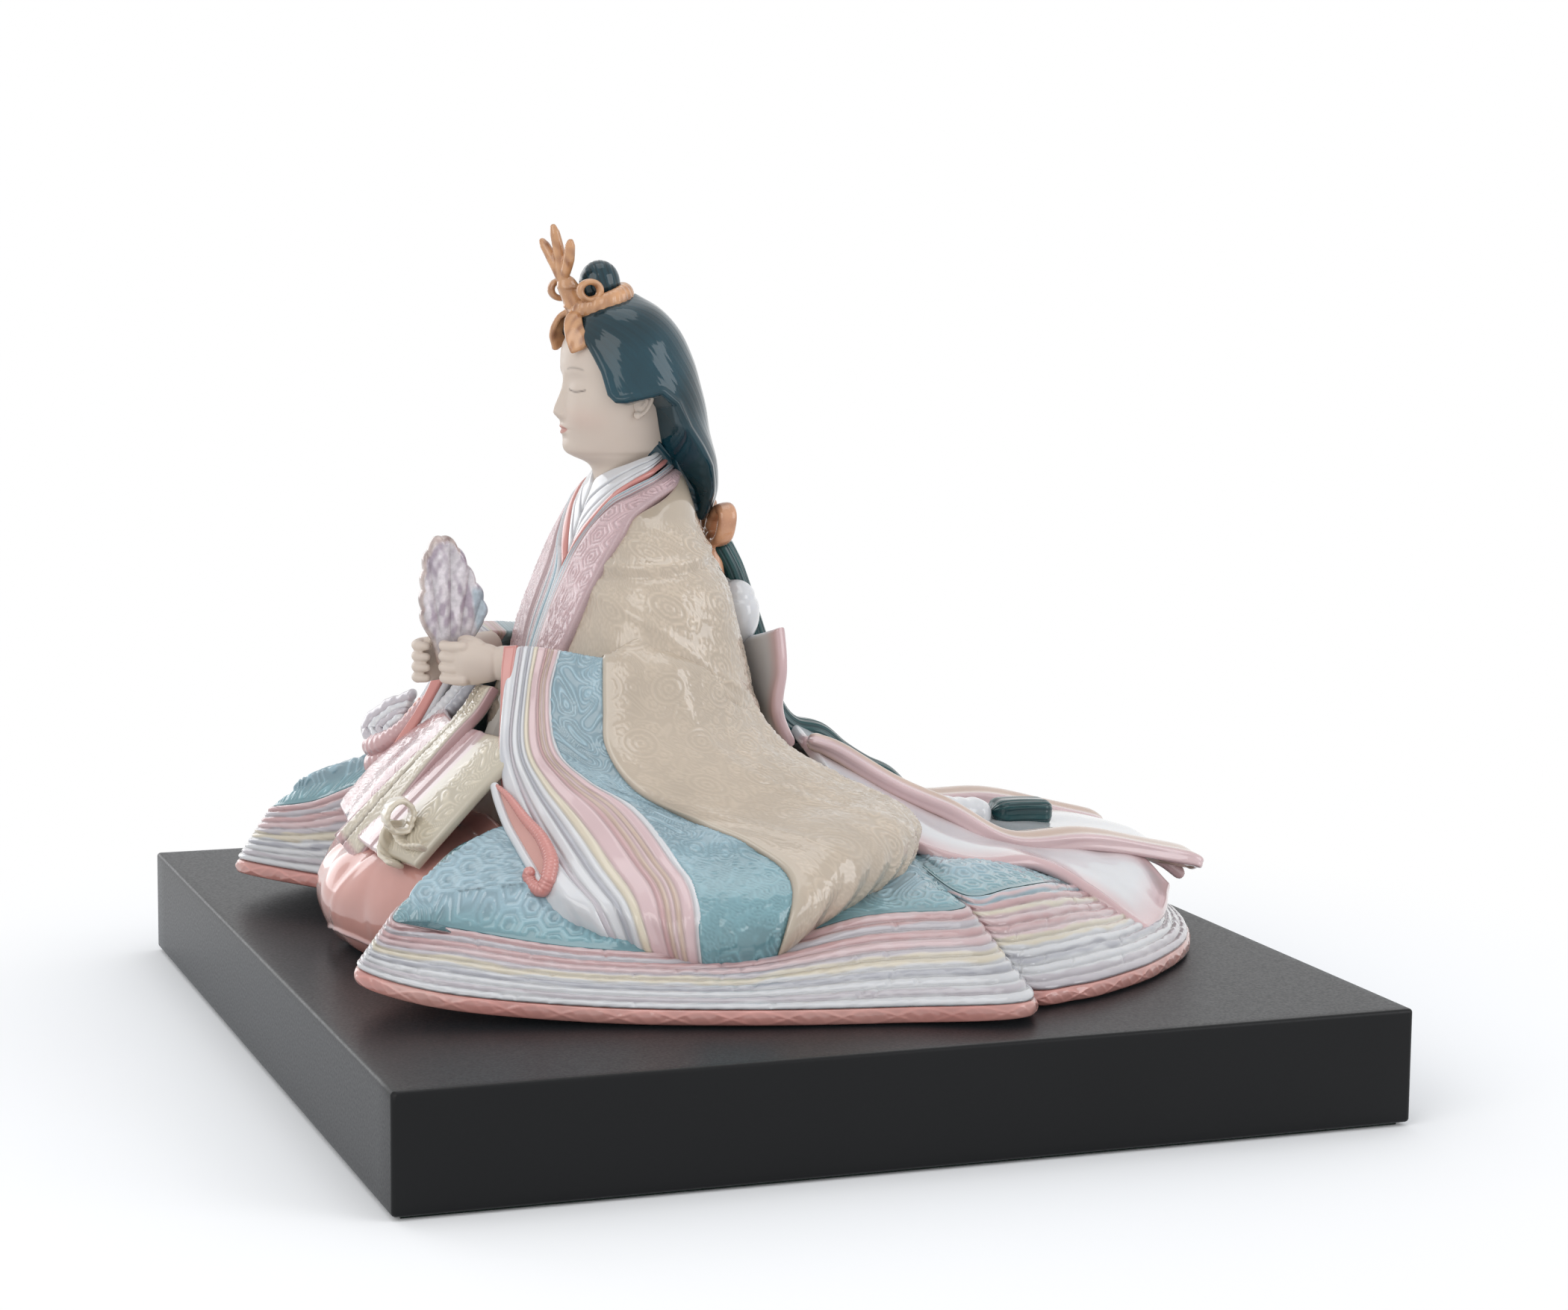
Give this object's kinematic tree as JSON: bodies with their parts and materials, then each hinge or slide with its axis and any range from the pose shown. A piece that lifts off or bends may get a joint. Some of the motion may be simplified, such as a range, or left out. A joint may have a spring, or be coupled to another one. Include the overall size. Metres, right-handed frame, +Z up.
{
  "type": "hina doll",
  "caption": "Seated court lady doll of glazed porcelain in layered robes with a long train, holding a folded fan, on a black lacquered plinth.",
  "frame": {"origin": "middle of the underside of the plinth", "axes": "+X to the doll's left hand side, +Y to its back, +Z up; the doll faces -Y"},
  "size_m": [0.454, 0.4, 0.3394],
  "materials": {
    "black_lacquer": "satin black lacquer over wood",
    "base_felt": "thin dark felt glued under the plinth",
    "biscuit_core": "unglazed porcelain, matt",
    "skin_bisque": "bisque porcelain, soft sheen",
    "hair_glaze": "dark blue-green glaze, glossy",
    "crown_lustre": "orange-tan lustre glaze",
    "bow_glaze": "brown-orange glaze, glossy",
    "cream_glaze": "cream glaze over a low relief pattern, glossy",
    "blue_glaze": "pale blue patterned glaze, glossy",
    "pink_glaze": "pale pink, grey and white banded glaze, glossy",
    "rose_glaze": "dusty rose patterned glaze, glossy",
    "salmon_glaze": "salmon glaze, glossy",
    "white_glaze": "bluish white glaze, glossy",
    "layered_glaze": "many thin pastel stripes, glossy",
    "fan_glaze": "mottled lilac-grey glaze with a tan rim"
  },
  "bodies": {
    "plinth": {"plinth_rail_front": "black_lacquer", "plinth_rail_left": "black_lacquer", "plinth_rail_back": "black_lacquer", "plinth_rail_right": "black_lacquer", "plinth_top_board": "black_lacquer", "plinth_bottom_panel": "black_lacquer", "plinth_base_felt": "base_felt"},
    "figure": {"core_casting": "biscuit_core", "head": "skin_bisque", "collar_white": "white_glaze", "collar_red": "salmon_glaze", "collar_stack": "pink_glaze", "collar_patterned": "rose_glaze", "jacket_body": "cream_glaze", "hand_left": "skin_bisque", "hand_right": "skin_bisque", "fan": "fan_glaze", "skirt_knees": "salmon_glaze", "robe_front_hem_left": "salmon_glaze", "robe_front_hem_right": "salmon_glaze", "robe_front_layers_left": "layered_glaze", "robe_front_layers_right": "layered_glaze", "robe_front_outer_left": "blue_glaze", "robe_front_outer_right": "blue_glaze", "robe_rear_hem": "salmon_glaze", "robe_rear_layers": "layered_glaze", "robe_rear_outer": "blue_glaze", "sleeve_cream_left": "cream_glaze", "sleeve_cream_right": "cream_glaze", "sleeve_blue_left": "blue_glaze", "sleeve_blue_right": "blue_glaze", "sleeve_layers_left": "pink_glaze", "sleeve_layers_right": "pink_glaze", "sleeve_white_left": "white_glaze", "sleeve_white_right": "white_glaze", "sleeve_lining_left": "salmon_glaze", "sleeve_lining_right": "salmon_glaze", "sash_knot": "cream_glaze", "sash_end": "cream_glaze", "front_cloth_cream": "cream_glaze", "front_cloth_pink": "rose_glaze", "waist_panel": "white_glaze", "hair_wrap": "white_glaze", "hair_tail": "hair_glaze", "hair_tail_end": "hair_glaze", "waist_pad": "white_glaze", "train_ribbon_left": "rose_glaze", "train_ribbon_right": "rose_glaze", "train_middle": "white_glaze", "train_side_left": "white_glaze", "train_side_right": "white_glaze", "hair_bow": "bow_glaze", "hair_cap": "hair_glaze", "hair_nape": "hair_glaze", "hair_topknot": "hair_glaze", "headband": "crown_lustre", "crown_blades": "crown_lustre", "crown_loop_left": "crown_lustre", "crown_loop_right": "crown_lustre"}
  },
  "joints": [
    {"name": "figure_lift", "type": "slide", "parent": "plinth", "child": "figure", "axis": [0, 0, 1], "range_m": [0, 0.06]}
  ]
}
